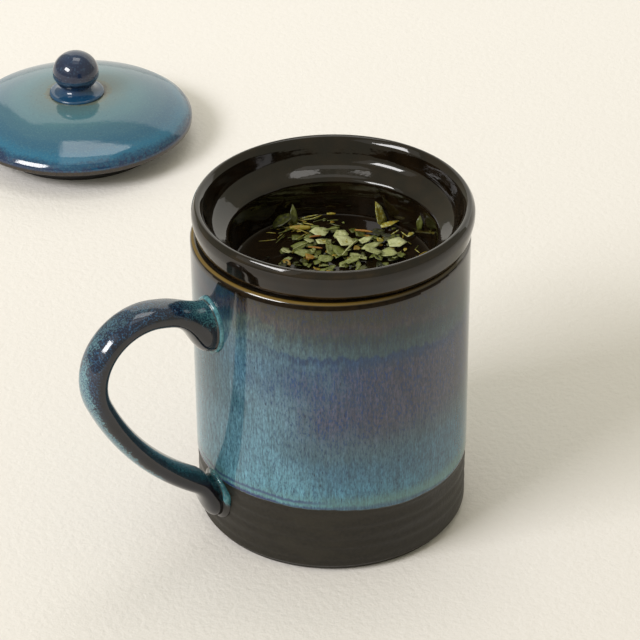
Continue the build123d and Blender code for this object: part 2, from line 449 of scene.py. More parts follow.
# A near-black, less glossy band just below the gold line, on the front of the view only, fading out towards the sides
dull_lip_band = Shader("dull_lip_band", 0.5, 1.18)
lip_band_mottle = dull_lip_band.noise(500.0, 3.0, 0.6)
dull_lip_band.colour(dull_lip_band.mix(dull_lip_band.span(lip_band_mottle, 0.3, 0.7), linear(16, 9, 2), linear(30, 20, 6)))
mug_shell.data.materials.append(dull_lip_band.material)
lip_foot = 95.9 + 1.95 * smooth_step(np.abs(turned), 22.0, 80.0)
lip_points = (outline_index <= top_index) & (ring_height > lip_foot) & (ring_height < 97.85)
unglazed_points = (outline_index <= top_index) & (ring_height - glaze_line(polar) < -0.3)
for face in mug_shell.data.polygons:
    if all(unglazed_points[v] for v in face.vertices):
        face.material_index = 1
    elif all(lip_points[v] for v in face.vertices):
        face.material_index = 2


# ---------------------------------------------------------------- handle
def tangent_arc(start, end, direction, steps):
    """Points and directions along an arc from start to end that sets out along direction."""
    start, end, direction = (np.array(v, float) for v in (start, end, direction))
    direction /= np.linalg.norm(direction)
    chord = end - start
    normal = np.array([-direction[1], direction[0]])
    radius = (chord @ chord) / (2 * (normal @ chord))
    centre = start + normal * radius
    first, last = start - centre, end - centre
    sweep = math.atan2(first[0] * last[1] - first[1] * last[0], first @ last)
    out = []
    for k in range(steps + 1):
        a = sweep * k / steps
        c, s = math.cos(a), math.sin(a)
        out.append((centre + np.array([first[0] * c - first[1] * s, first[0] * s + first[1] * c]),
                    np.array([direction[0] * c - direction[1] * s, direction[0] * s + direction[1] * c])))
    return out


handle_start = np.array([-40.0, 82.5])
crest = np.array([-60.81, 88.6])
shoulder = np.array([-81.8, 63.7])
handle_end = np.array([-40.0, 18.1])
rise = math.radians(20.8)
track = tangent_arc(handle_start, crest, (-math.cos(rise), math.sin(rise)), 40)
track += tangent_arc(crest, shoulder, track[-1][1], 60)[1:]
track += tangent_arc(shoulder, handle_end, track[-1][1], 80)[1:]
track_points = np.array([p for p, d in track])
track_dirs = np.array([d for p, d in track])
run = np.concatenate([[0], np.cumsum(np.linalg.norm(np.diff(track_points, axis=0), axis=1))])
run /= run[-1]


def on_track(share):
    """Point and direction at a share of the strap's length."""
    point = np.array([np.interp(share, run, track_points[:, k]) for k in (0, 1)])
    direction = np.array([np.interp(share, run, track_dirs[:, k]) for k in (0, 1)])
    return point, direction / np.linalg.norm(direction)


ROUND = 72
around = np.arange(ROUND) * 2 * math.pi / ROUND


def strap_ring(share):
    """The strap's section: outer side at angle 0, then toward +Y."""
    point, direction = on_track(share)
    outward = np.array([direction[1], -direction[0]])
    c, s = np.cos(around), np.sin(around)
    power = 2 / 2.25
    across = np.sign(s) * np.abs(s) ** power * 6.0
    out = np.sign(c) * np.abs(c) ** power * 3.6
    ring = np.zeros((ROUND, 3))
    ring[:, 0] = point[0] + outward[0] * out
    ring[:, 1] = across
    ring[:, 2] = point[1] + outward[1] * out
    return ring, np.array([direction[0], 0.0, direction[1]])


def foot_ring(height, half_width, half_height, lift, grow, flip):
    """A ring on the mug's wall round a join: lift is its distance from the wall, grow its growth in mm."""
    c, s = np.cos(around), np.sin(around)
    z = height + flip * c * (half_height + grow)
    y = s * (half_width + grow)
    radius = WALL + lift
    angle = math.pi - y / WALL
    return np.stack([radius * np.cos(angle), radius * np.sin(angle), z], axis=1)


def flare(share, height, half_width, half_height, flip, steps):
    """Rings from the strap at share to its join on the wall."""
    first, direction = strap_ring(share)
    inward = -direction if flip > 0 else direction
    base = foot_ring(height, half_width, half_height, 0.9, 0.0, flip)
    normal = base.copy()
    normal[:, 2] = 0
    normal /= np.linalg.norm(normal, axis=1)[:, None]
    span = np.linalg.norm(base - first, axis=1)[:, None]
    control_a = first + inward * span * 0.45
    control_b = base + normal * span * 0.32
    rings = []
    for k in range(1, steps + 1):
        t = k / steps
        rings.append(
            (1 - t) ** 3 * first + 3 * t * (1 - t) ** 2 * control_a + 3 * t * t * (1 - t) * control_b + t ** 3 * base
        )
    return rings


# Shares of the strap's length at its flares, then each join's height, half width and half height in mm
UPPER, LOWER = 0.15, 0.90
UPPER_JOIN, LOWER_JOIN = (79.0, 6.5, 8.5), (16.2, 6.4, 7.0)
shares = np.linspace(UPPER, LOWER, 110)
rings = [strap_ring(s)[0] for s in shares]
upper = flare(UPPER, *UPPER_JOIN, 1, 16)
lower = flare(LOWER, *LOWER_JOIN, -1, 14)
# Lift and growth of the rings round a join: a bead of pooled glaze, and a soft edge of bare clay
bead = [(1.05, 0.25), (1.15, 0.60), (0.95, 0.95), (0.55, 1.18), (0.0, 1.28), (-1.2, 1.28)]
soft = [(0.62, 0.30), (0.42, 0.65), (0.24, 1.0), (0.08, 1.35), (-0.15, 1.6), (-1.2, 1.6)]
drip = smooth_step(around, 2.55, 3.0) * (1 - smooth_step(around, 4.62, 4.86))
drop = 0.75 + 0.75 * np.exp(-((around - 4.45) / 0.22) ** 2) + 0.35 * np.exp(-((around - 3.15) / 0.25) ** 2)
for (lift, grow), (low_lift, low_grow) in zip(bead, soft):
    upper.append(foot_ring(*UPPER_JOIN, lift * 0.92, grow * 0.85, 1))
    lift = low_lift + (lift * drop - low_lift) * drip
    grow = low_grow + (grow * drop - low_grow) * drip
    lower.append(foot_ring(*LOWER_JOIN, lift, grow, -1))
all_rings = list(reversed(upper)) + rings + lower
along_rings = np.concatenate([np.linspace(0.0, UPPER, len(upper)), shares, np.linspace(LOWER, 1.0, len(lower))])
bead_rings = [1.0] * len(bead) + [0.0] * (len(all_rings) - 2 * len(bead)) + [1.0] * len(bead)
handle_vertices = np.concatenate(all_rings)
handle_faces = []
for ring in range(len(all_rings) - 1):
    a, b = ring * ROUND, (ring + 1) * ROUND
    for k in range(ROUND):
        n = (k + 1) % ROUND
        handle_faces.append((a + k, b + k, b + n, a + n))
handle_faces.append(tuple(range(ROUND)))
handle_faces.append(tuple(reversed([(len(all_rings) - 1) * ROUND + k for k in range(ROUND)])))
handle_strap = new_piece("handle_strap", handle_vertices * MM, handle_faces)
set_attribute(handle_strap, "outer", np.tile(np.cos(around), len(all_rings)))
set_attribute(handle_strap, "along", np.repeat(along_rings, ROUND))
bead_points = np.repeat(bead_rings, ROUND)
bead_points[-len(bead) * ROUND:] = np.tile(drip, len(bead))
set_attribute(handle_strap, "bead", bead_points)
unglazed = np.zeros(len(bead_points))
fade = np.repeat([0.3, 0.6, 0.9] + [1.0] * len(bead), ROUND)
unglazed[-len(fade):] = np.tile(1 - drip, len(bead) + 3) * fade
set_attribute(handle_strap, "unglazed", unglazed)
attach(handle_strap, "mug")
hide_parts("handle")

strap = Shader("handle_glaze", 0.06, 1.62)
outer = strap.attribute("outer")
along = strap.attribute("along")
mottle = strap.noise(620.0, 4.0, 0.65)
cloud = strap.noise(150.0, 3.0, 0.55)
speck = strap.noise(1900.0, 3.0, 0.65)
edge = strap.plus(outer, strap.spread(cloud, 0.3, 0.7, -0.16, 0.16))
edge = strap.plus(edge, strap.spread(mottle, 0.3, 0.7, -0.14, 0.14))
edge = strap.plus(edge, strap.spread(speck, 0.3, 0.7, -0.10, 0.10))
dark = strap.mix(strap.span(cloud, 0.35, 0.65), linear(15, 15, 20), linear(20, 21, 32))
blue = strap.mix(strap.span(speck, 0.47, 0.62), linear(16, 24, 48), linear(44, 84, 118))
blue = strap.mix(strap.span(mottle, 0.40, 0.62, 0.0, 0.65), blue, linear(18, 26, 48))
arch = strap.times(strap.span(along, 0.04, 0.12), strap.span(along, 0.54, 0.44, 0.0, 1.0))
colour = strap.mix(strap.times(strap.span(edge, 0.02, 0.62), arch), dark, blue)
pale = strap.mix(strap.span(speck, 0.40, 0.58), linear(42, 88, 116), linear(104, 144, 152))
crest_share = strap.times(strap.span(along, 0.05, 0.14, 0.25, 1.0), strap.span(along, 0.24, 0.42, 0.22, 1.0))
wide_edge = strap.plus(edge, strap.times(strap.span(along, 0.34, 0.52), strap.span(along, 0.86, 0.74, -0.3, 0.45)))
colour = strap.mix(strap.times(strap.span(wide_edge, 0.88, 1.12, 0.0, 0.9), crest_share), colour, pale)
root = strap.mix(strap.span(speck, 0.42, 0.58), linear(26, 58, 78), linear(70, 122, 130))
at_root = strap.times(strap.span(along, 0.16, 0.07), strap.span(edge, 0.25, 0.6))
colour = strap.mix(at_root, colour, root)
burnt = strap.band(along, 0.052, 0.040, 0.0, 0.02)
colour = strap.mix(burnt, colour, linear(40, 28, 16))
inside = strap.times(strap.span(edge, -0.42, -0.82), strap.span(along, 0.50, 0.80))
pooled = strap.mix(strap.span(speck, 0.42, 0.6), linear(16, 50, 66), linear(44, 92, 104))
colour = strap.mix(inside, colour, pooled)
pool = strap.mix(strap.span(mottle, 0.35, 0.65), linear(40, 92, 108), linear(84, 142, 152))
colour = strap.mix(strap.attribute("unglazed"), colour, linear(27, 23, 18))
colour = strap.mix(strap.attribute("bead"), colour, pool)
strap.colour(colour)
strap.rough(strap.span(mottle, 0.2, 0.8, 0.04, 0.09))
strap.bump(mottle, 0.00003)
handle_strap.data.materials.append(strap.material)


# ---------------------------------------------------------------- infuser
SHIFT = 1.0  # how far the infuser hangs off the mug's axis, in mm
HOLE_RADIUS, HOLE_PITCH, HOLE_SIDES = 1.5, 6.4, 16
infuser_outline = rounded(
    [
        (0, 34.4, 0), (32.0, 34.4, 5.0), (34.4, 89.9, 3.0), (38.4, 95.8, 0.8), (38.4, 98.4, 0.3), (41.4, 98.4, 0.5),
        (42.4, 100.3, 1.2), (43.3, 104.6, 6.0), (43.2, 106.9, 3.0), (42.0, 108.84, 1.45), (40.75, 108.5, 1.2),
        (39.75, 107.3, 2.0), (37.85, 100.9, 4.2), (31.8, 98.0, 2.2), (31.3, 92.5, 6.0), (29.0, 37.6, 4.0),
        (0, 37.6, 0),
    ],
    0.9,
)
infuser_cup, info = lathe("infuser_cup", infuser_outline, centre=(SHIFT, 0), segments=288)
radius_mm = axis_distance(infuser_cup, (SHIFT, 0))
height_mm = info[:, 2]
thin = np.exp(-((radius_mm - 42.6) ** 2 + (height_mm - 107.3) ** 2) / 1.2) * 0.6
thin = np.maximum(thin, np.exp(-((radius_mm - 42.2) ** 2 + (height_mm - 100.0) ** 2) / 0.8))
set_attribute(infuser_cup, "thin", thin)

# The drilled floor: six-fold rings of holes, as in the frame
drill_vertices, drill_faces = [], []
for ring in range(4):
    for k in range(max(1, 6 * ring)):
        angle = 2 * math.pi * k / max(1, 6 * ring)
        x, y = SHIFT + HOLE_PITCH * ring * math.cos(angle), HOLE_PITCH * ring * math.sin(angle)
        begin = len(drill_vertices)
        for z in (33.0, 39.0):
            for j in range(HOLE_SIDES):
                a = 2 * math.pi * j / HOLE_SIDES
                u, v = x + HOLE_RADIUS * math.cos(a), y + HOLE_RADIUS * math.sin(a)
                drill_vertices.append((u * MM, v * MM, z * MM))
        end = begin + HOLE_SIDES
        for j in range(HOLE_SIDES):
            n = (j + 1) % HOLE_SIDES
            drill_faces.append((begin + j, begin + n, end + n, end + j))
        drill_faces.append(tuple(begin + j for j in reversed(range(HOLE_SIDES))))
        drill_faces.append(tuple(end + j for j in range(HOLE_SIDES)))
drill = new_piece("drill", drill_vertices, drill_faces)
cut = infuser_cup.modifiers.new("holes", "BOOLEAN")
cut.operation, cut.object, cut.solver = "DIFFERENCE", drill, "EXACT"
bpy.context.view_layer.update()
graph = bpy.context.evaluated_depsgraph_get()
drilled = bpy.data.meshes.new_from_object(infuser_cup.evaluated_get(graph))
infuser_cup.modifiers.clear()
infuser_cup.data = drilled
bpy.data.objects.remove(drill)
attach(infuser_cup, "infuser_cup")
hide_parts("infuser")

tenmoku = Shader("infuser_black_brown_glaze", 0.04, 1.5)
drift = tenmoku.noise(160.0, 3.0, 0.5)
freckle = tenmoku.noise(1300.0, 2.0, 0.6)
colour = tenmoku.mix(tenmoku.span(drift, 0.35, 0.65), linear(14, 9, 4), linear(24, 16, 7))
colour = tenmoku.mix(tenmoku.span(freckle, 0.62, 0.74, 0.0, 0.5), colour, linear(46, 32, 18))
thin_node = tenmoku.plus(tenmoku.attribute("thin"), tenmoku.spread(drift, 0.3, 0.7, -0.2, 0.15))
colour = tenmoku.mix(tenmoku.span(thin_node, 0.35, 1.0, 0.0, 0.8), colour, linear(52, 38, 18))
tenmoku.colour(colour)
tenmoku.rough(tenmoku.span(drift, 0.3, 0.7, 0.04, 0.08))
throwing = tenmoku.noise(700.0, 2.0, 0.5, across=0.05)
tenmoku.bump(tenmoku.plus(drift, tenmoku.times(throwing, 0.2)), 0.00006)
infuser_cup.data.materials.clear()
infuser_cup.data.materials.append(tenmoku.material)


# ---------------------------------------------------------------- tea and leaves
TEA = 85.4  # the tea's level, in mm
LEAF_TURN = math.radians(31.5)


def tea_shape(angle, radius, height, index):
    """Moves the raised ring to the infuser's axis."""
    return np.where(radius < 36, radius + SHIFT * np.cos(angle), radius), height


# One disc out to the mug's wall, with a raised ring where it meets the infuser
tea_liquid, _ = lathe(
    "tea_liquid",
    [
        (0, TEA - 0.7), (20, TEA - 0.7), (39.6, TEA - 0.7), (39.7, TEA + 0.1), (39.3, TEA), (34, TEA),
        (32.2, TEA + 0.8), (31.4, TEA + 0.8), (30.9, TEA + 0.4), (30.4, TEA + 0.18), (29.7, TEA + 0.06),
        (28.6, TEA), (20, TEA), (8, TEA), (0, TEA),
    ],
    segments=160,
    shape=tea_shape,
)
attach(tea_liquid, "mug")
tea = Shader("brewed_tea", 0.02, 1.33)
swirl = tea.noise(60.0, 3.0, 0.5)
tea.colour(tea.mix(tea.span(swirl, 0.3, 0.7), linear(16, 11, 7), linear(30, 20, 9)))
tea.bump(swirl, 0.0002)
tea_liquid.data.materials.append(tea.material)


def bed_shape(angle, radius, height, index):
    """Gives the bed's top a lumpy surface."""
    x, y = radius * np.cos(angle), radius * np.sin(angle)
    lumps = np.sin(x * 0.9 + 1.3) * np.cos(y * 0.8) + 0.6 * np.sin(x * 1.9 - y * 1.4)
    top = height > 80
    return radius, np.where(top, height + 0.22 * lumps, height)


bed_outline = rounded([(0, 38.2, 0), (28.2, 38.2, 3.0), (31.2, 84.1, 0.6), (0, 84.1, 0)], 2.2)
leaf_bed, _ = lathe("leaf_bed", bed_outline, centre=(SHIFT, 0), segments=96, shape=bed_shape)
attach(leaf_bed, "infuser_cup")
wet = Shader("wet_leaf_bed", 0.35)
clump = wet.cells(420.0)
weave = wet.noise(500.0, 4.0, 0.6)
wet.colour(wet.ramp(wet.plus(clump, weave), [
    (0.35, linear(16, 16, 8)), (0.65, linear(38, 42, 20)), (0.95, linear(78, 84, 44))]))
wet.bump(clump, 0.0006)
leaf_bed.data.materials.append(wet.material)

rng = random.Random(11)
leaf_vertices, leaf_faces, leaf_tint = [], [], []


def add_flake(x, y, z, length, width, heading, tilt, roll, curl, tint, points):
    """A crushed leaf: a thin closed chip with a pointed outline, a fold and a curl."""
    turn = Matrix.Rotation(heading, 3, "Z") @ Matrix.Rotation(tilt, 3, "Y") @ Matrix.Rotation(roll, 3, "X")
    outline = []
    for k in range(points):
        a = 2 * math.pi * k / points
        c, s = math.cos(a), math.sin(a)
        reach = 1.0 + rng.uniform(-0.26, 0.20)
        u = c * abs(c) ** 0.15 * length / 2 * reach
        v = s * abs(s) ** 0.1 * width / 2 * reach * (1 - 0.35 * c)
        outline.append((u, v))
    rings = [(0.0, 0.0)] + [(u * 0.5, v * 0.5) for u, v in outline] + outline
    start = len(leaf_vertices)
    for side in (1, -1):
        for u, v in rings:
            bend = curl * ((u / length) ** 2 * length * 0.9) + abs(v) * 0.28
            p = turn @ Vector((u, v, bend + side * 0.09))
            leaf_vertices.append(((x + p.x) * MM, (y + p.y) * MM, (z + p.z) * MM))
            leaf_tint.append(tint + (0.05 if abs(v) < 0.05 * width else 0.0))
    count = len(rings)
    for side in (0, 1):
        o = start + side * count
        for k in range(points):
            n = (k + 1) % points
            tri = (o, o + 1 + k, o + 1 + n)
            quad = (o + 1 + k, o + 1 + points + k, o + 1 + points + n, o + 1 + n)
            leaf_faces.append(tri if side == 0 else tuple(reversed(tri)))
            leaf_faces.append(quad if side == 0 else tuple(reversed(quad)))
    for k in range(points):
        n = (k + 1) % points
        a, b = start + 1 + points + k, start + 1 + points + n
        leaf_faces.append((a, a + count, b + count, b))


def add_stem(x, y, z, length, thick, heading, tilt, bow, tint, sides=6, steps=6):
    """A needle or twig that is thinner at its ends; bow bends it sideways."""
    turn = Matrix.Rotation(heading, 3, "Z") @ Matrix.Rotation(tilt, 3, "Y")
    start = len(leaf_vertices)
    for k in range(steps + 1):
        t = k / steps - 0.5
        size = thick * (1 - 0.35 * abs(t) * 2)
        for j in range(sides):
            a = 2 * math.pi * j / sides
            side = bow * (0.25 - t * t) * length + math.cos(a) * size / 2
            p = turn @ Vector((t * length, side, math.sin(a) * size / 2))
            leaf_vertices.append(((x + p.x) * MM, (y + p.y) * MM, (z + p.z) * MM))
            leaf_tint.append(tint)
    for k in range(steps):
        a, b = start + k * sides, start + (k + 1) * sides
        for j in range(sides):
            n = (j + 1) % sides
            leaf_faces.append((a + j, a + n, b + n, b + j))
    leaf_faces.append(tuple(start + j for j in reversed(range(sides))))
    leaf_faces.append(tuple(start + steps * sides + j for j in range(sides)))


def toward_camera(right, front):
    """A place on the tea, from how far right and how far towards the front it lies in the main view."""
    c, s = math.cos(-LEAF_TURN), math.sin(-LEAF_TURN)
    return SHIFT + right * c - -front * s, right * s + -front * c


# Crushed leaves float in a drift, needles and a twig lie beyond it, and a few leaves lean on the wall.
# Each row: right, front, height over the tea, length, width, heading, tilt, tone
for right, front, z, length, width, heading, tilt, tone in (
    (-4.0, -17.3, 1.6, 5.6, 4.2, 0.1, 0.10, 0.86), (2.3, -15.6, 1.7, 5.8, 4.6, 0.5, -0.15, 0.80),
    (-7.3, -12.8, 1.3, 3.0, 3.0, 0.9, 0.2, 0.82), (-3.0, -10.8, 1.9, 4.6, 5.0, 1.2, 0.12, 0.92),
    (4.0, -10.6, 2.0, 6.2, 5.8, -0.2, 0.18, 0.90), (10.0, -12.6, 1.4, 4.8, 3.0, 0.0, -0.1, 0.84),
    (14.7, -13.2, 1.2, 3.6, 2.6, 0.3, 0.25, 1.0), (19.6, -10.6, 1.3, 6.2, 4.4, -0.5, -0.1, 0.86),
    (11.9, -9.0, 1.5, 7.6, 3.0, 0.1, 0.06, 0.74), (12.4, -5.0, 1.9, 5.4, 5.6, 0.6, 0.15, 0.78),
    (17.0, -4.6, 1.5, 5.0, 4.4, -0.9, -0.2, 0.76), (-14.7, -6.8, 1.1, 3.4, 3.3, 0.8, 0.2, 0.88),
    (-10.4, -10.2, 1.0, 5.4, 3.8, 0.3, -0.1, 0.5), (-9.3, -5.0, 1.5, 5.4, 4.4, 0.4, 0.1, 0.66),
    (-0.9, -7.4, 1.4, 6.6, 3.6, 1.4, -0.3, 0.42), (2.2, -6.0, 1.2, 4.6, 4.8, 0.2, 0.1, 0.5),
    (8.6, -16.8, 1.1, 4.4, 3.8, -0.3, 0.3, 0.34), (-2.1, -1.0, 1.7, 5.0, 3.4, 0.4, 0.1, 0.6),
    (6.0, -0.6, 1.5, 7.4, 2.6, 0.15, 0.0, 0.62), (9.2, -2.8, 1.2, 3.2, 2.8, 0.8, 0.1, 0.8),
    (-7.0, -2.2, 1.7, 3.4, 3.0, 0.2, 0.3, 1.14), (-14.3, -2.4, 0.9, 3.2, 1.6, 0.0, 0.0, 0.66),
    (21.0, -4.8, 0.9, 3.4, 2.2, 0.5, 0.1, 0.6), (-11.0, -15.5, 0.7, 4.0, 2.6, 0.2, 0.15, 0.36),
    (0.5, -20.5, 0.8, 4.6, 2.6, 0.3, -0.1, 0.3), (6.5, -20.0, 0.7, 3.8, 2.2, 0.7, 0.2, 0.28),
    (-15.6, -22.5, 3.0, 7.4, 4.4, -0.35, -0.45, 0.16), (-12.6, -24.5, 3.6, 5.6, 2.4, 1.2, -1.1, 0.3),
    (14.4, -24.6, 3.6, 8.0, 3.6, 1.75, -1.15, 0.96), (17.4, -22.6, 1.2, 5.6, 2.6, -0.5, -0.3, 1.0),
    (26.9, -13.6, 6.8, 4.6, 2.0, 0.9, -1.25, 0.36), (14.0, -18.6, 0.7, 4.8, 4.0, 0.3, 0.1, 0.12),
    (18.0, -15.4, 0.6, 5.4, 3.6, -0.4, 0.1, 0.12), (24.4, -17.2, 1.0, 2.8, 1.4, 0.0, -0.2, 1.0),
):
    x, y = toward_camera(right, front)
    add_flake(x, y, TEA + z, length * 1.18, width * 1.18, heading, tilt, 0.12,
              rng.uniform(0.0, 0.3), tone, rng.choice((5, 6, 7)))
for k in range(110):
    right, front = rng.uniform(-16, 22), rng.uniform(-17, 9)
    if right < -8 and front < -9:
        continue
    x, y = toward_camera(right, front)
    add_flake(x, y, TEA + 0.3 + rng.random() * 0.9,
              rng.uniform(2.2, 4.6), rng.uniform(1.6, 3.2), rng.uniform(0, 6.28),
              rng.uniform(-0.25, 0.25), rng.uniform(-0.3, 0.3), rng.uniform(-0.2, 0.4),
              rng.choice((0.12, 0.2, 0.3, 0.42, 0.5, 0.62, 0.7, 1.1)), rng.choice((5, 6, 7)))
for k in range(120):
    right, front = rng.uniform(-28, 29), rng.uniform(-29, 12)
    if math.hypot(right, front) > 29.0 or (right < -6 and front > -19 and rng.random() < 0.6):
        continue
    x, y = toward_camera(right, front)
    add_flake(x, y, TEA + 0.2 + rng.random() * 0.5,
              rng.uniform(1.0, 3.0), rng.uniform(0.6, 1.5), rng.uniform(0, 6.28),
              rng.uniform(-0.4, 0.4), rng.uniform(-0.4, 0.4), rng.uniform(-0.2, 0.4),
              rng.choice((0.1, 0.16, 0.24, 0.34, 0.5, 1.05)), 6)
for k in range(46):
    right, front = rng.gauss(-11, 5.5), rng.gauss(-22, 3.6)
    if math.hypot(right, front) > 28.5:
        continue
    x, y = toward_camera(right, front)
    add_stem(x, y, TEA + 0.3 + rng.random() * 1.4,
             rng.uniform(2.6, 7.5), rng.uniform(0.25, 0.5), rng.uniform(-1.2, 0.6),
             rng.uniform(-0.12, 0.12), rng.uniform(-0.2, 0.2), rng.choice((0.24, 0.34, 0.42, 0.98, 1.0, 1.05)))
for k in range(20):
    right, front = rng.uniform(16, 28), rng.uniform(-20, -4)
    if math.hypot(right, front) > 29:
        continue
    x, y = toward_camera(right, front)
    add_stem(x, y, TEA + 0.3 + rng.random() * 1.0,
             rng.uniform(1.6, 4.4), rng.uniform(0.25, 0.5), rng.uniform(-1.6, 1.6),
             rng.uniform(-0.2, 0.2), rng.uniform(-0.2, 0.2), rng.choice((0.3, 0.98, 1.02, 1.1)))
# Each row: right, front, height over the tea, length, thickness, heading, tone
for right, front, z, length, thick, heading, tone in (
    (5.2, -6.2, 3.0, 10.6, 0.75, 1.10, 0.84), (-0.6, -18.6, 2.2, 5.4, 0.7, 0.35, 0.6),
    (9.5, -17.0, 2.4, 5.6, 0.8, -0.2, 1.22), (-5.6, -13.6, 2.6, 3.8, 0.6, 0.25, 1.3),
    (-5.6, -6.4, 2.8, 4.4, 0.6, -0.15, 1.26), (-10.0, -8.2, 2.4, 6.6, 0.55, 0.72, 0.7),
    (-7.6, -27.0, 1.8, 6.2, 0.5, 0.45, 1.0), (-9.4, -26.0, 1.2, 6.8, 0.5, 0.25, 0.98),
    (-0.6, -28.8, 1.8, 2.8, 0.9, 0.05, 1.04),
):
    x, y = toward_camera(right, front)
    add_stem(x, y, TEA + z, length, thick, heading - LEAF_TURN, 0.02, 0.08, tone)
x, y = toward_camera(-10.4, -21.0)
add_stem(x, y, TEA + 1.3, 6.6, 1.9, -0.50, 0.02, 0.05, 1.08, 10, 8)
x, y = toward_camera(-6.0, -21.4)
add_stem(x, y, TEA + 1.2, 3.2, 1.4, -0.42, 0.02, 0.05, 0.5, 10, 8)
tea_leaves = new_piece("tea_leaves", leaf_vertices, leaf_faces)
set_attribute(tea_leaves, "tint", leaf_tint)
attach(tea_leaves, "infuser_cup")
leafy = Shader("crushed_tea_leaf", 0.42)
tint = leafy.attribute("tint")
vein = leafy.noise(900.0, 3.0, 0.6)
tone = leafy.plus(tint, leafy.spread(vein, 0.3, 0.7, -0.1, 0.1))
leafy.colour(leafy.ramp(leafy.times(tone, 0.66), [
    (0.05, linear(26, 28, 9)), (0.2, linear(74, 78, 24)), (0.38, linear(106, 114, 54)), (0.5, linear(144, 150, 96)),
    (0.6, linear(180, 184, 138)), (0.66, linear(140, 132, 46)), (0.8, linear(146, 104, 34)),
    (0.9, linear(134, 82, 40))]))
leafy.bump(vein, 0.0001)
tea_leaves.data.materials.append(leafy.material)


# ---------------------------------------------------------------- lid
# Lengths in mm; LANDING is the radius of the flat that the knob stands on
LID = (39.93075, 254.99244)
LID_RADIUS, LANDING, LID_RISE, LID_TOP = 44.8, 10.7, 8.6, 21.2
RING_BORE, RING_RADIUS, RING_HEIGHT = 30.0, 33.2, 8.3


def dome(radius):
    """Height of the lid's upper face."""
    run_out = LID_RADIUS - LANDING
    bend = (run_out ** 2 + LID_RISE ** 2) / (2 * LID_RISE)
    return LID_TOP - bend + math.sqrt(bend ** 2 - max(0.0, radius - LANDING) ** 2)


lid_outline = [(0, 17.2, 0), (LANDING, 17.2, 6)]
lid_outline += [(r, dome(r) - 4.0, 0) for r in (16, 21, 26)]
lid_outline += [
    (RING_BORE, dome(RING_BORE) - 4.2, 2.0), (RING_BORE, 0, 1.0), (RING_RADIUS, 0, 1.0),
    (RING_RADIUS, RING_HEIGHT, 0.6), (LID_RADIUS, RING_HEIGHT, 0.9), (LID_RADIUS, 11.1, 2.0), (43.5, 12.8, 1.6)]
lid_outline += [(r, dome(r), 0) for r in (41, 38.5, 36, 33, 30, 27, 24, 21, 18, 15, 13)]
lid_outline += [(LANDING, LID_TOP, 6), (0, LID_TOP, 0)]
lid_dome, info = lathe("lid_dome", rounded(lid_outline, 1.2), centre=LID, segments=288)
lid_radius = axis_distance(lid_dome, LID)
lid_height = info[:, 2]
is_top = (info[:, 3] > info[np.argmax(lid_radius * (np.abs(lid_height - 11) < 1.5)), 3])
set_attribute(lid_dome, "top", is_top.astype(float))
set_attribute(lid_dome, "reach", lid_radius)
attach(lid_dome, "lid_cap")
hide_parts("lid")

cap = Shader("lid_reactive_glaze", 0.06, 1.6)
reach = cap.attribute("reach")
level = cap.height_mm()
patches = cap.noise(45.0, 3.0, 0.55)
spots = cap.noise(800.0, 3.0, 0.65)
stipple = cap.noise(1500.0, 2.0, 0.6)
wave = cap.plus(reach, cap.spread(patches, 0.3, 0.7, -1.6, 1.6))
wave = cap.plus(wave, cap.spread(spots, 0.3, 0.7, -0.9, 0.9))
colour = cap.ramp(cap.times(wave, 0.02), [
    (0.20, linear(60, 52, 40)), (0.235, linear(98, 106, 96)), (0.27, linear(86, 114, 120)),
    (0.45, linear(74, 116, 130)), (0.62, linear(60, 102, 124)), (0.72, linear(46, 94, 122)),
    (0.83, linear(38, 102, 134)), (0.872, linear(26, 72, 104)), (0.895, linear(26, 46, 80))])
colour = cap.mix(cap.span(spots, 0.40, 0.28, 0.0, 0.35), colour, linear(24, 52, 86))
colour = cap.mix(cap.span(stipple, 0.50, 0.66, 0.0, 0.16), colour, linear(104, 146, 146))
brown = cap.mix(cap.span(spots, 0.35, 0.65), linear(34, 27, 20), linear(54, 43, 32))
side = cap.plus(level, cap.spread(patches, 0.3, 0.7, -0.4, 0.4))
colour = cap.mix(cap.span(side, 10.3, 9.7), colour, brown)
colour = cap.mix(cap.span(level, 8.9, 8.2), colour, linear(18, 16, 15))
colour = cap.mix(cap.attribute("top"), cap.mix(cap.span(level, 8.9, 8.2), brown, linear(18, 16, 15)), colour)
cap.colour(colour)
cap.rough(cap.span(level, 8.6, 9.2, 0.35, 0.06))
cap.bump(cap.times(spots, 0.1), 0.0002)
lid_dome.data.materials.append(cap.material)

# ---------------------------------------------------------------- knob
knob_outline = [(0, 21.0), (10.5, 21.0), (10.75, 21.5), (10.5, 22.2)]
for k in range(1, 9):
    a = math.pi / 2 * k / 9
    knob_outline.append((10.5 - 4.3 * math.sin(a), 22.2 + 2.9 * (1 - math.cos(a))))
ball_centre, ball_half = 30.5, 8.1
for k in range(31):
    a = -math.radians(46) + math.radians(136) * k / 30
    bulge = 0.22 * math.exp(-((math.degrees(a) + 12) / 5.0) ** 2)
    knob_outline.append(((9.1 - 0.15 + bulge) * math.cos(a), ball_centre + ball_half * math.sin(a)))
knob_outline[-1] = (0, ball_centre + ball_half)
lid_ball, _ = lathe("lid_ball", knob_outline, centre=LID, segments=96)
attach(lid_ball, "lid_cap")
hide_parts("lid_knob")
knob = Shader("knob_glaze", 0.05, 1.6)
level = knob.height_mm()
cloud = knob.noise(260.0, 3.0, 0.6)
dots = knob.noise(1300.0, 2.0, 0.6)
level = knob.plus(level, knob.spread(cloud, 0.3, 0.7, -0.8, 0.8))
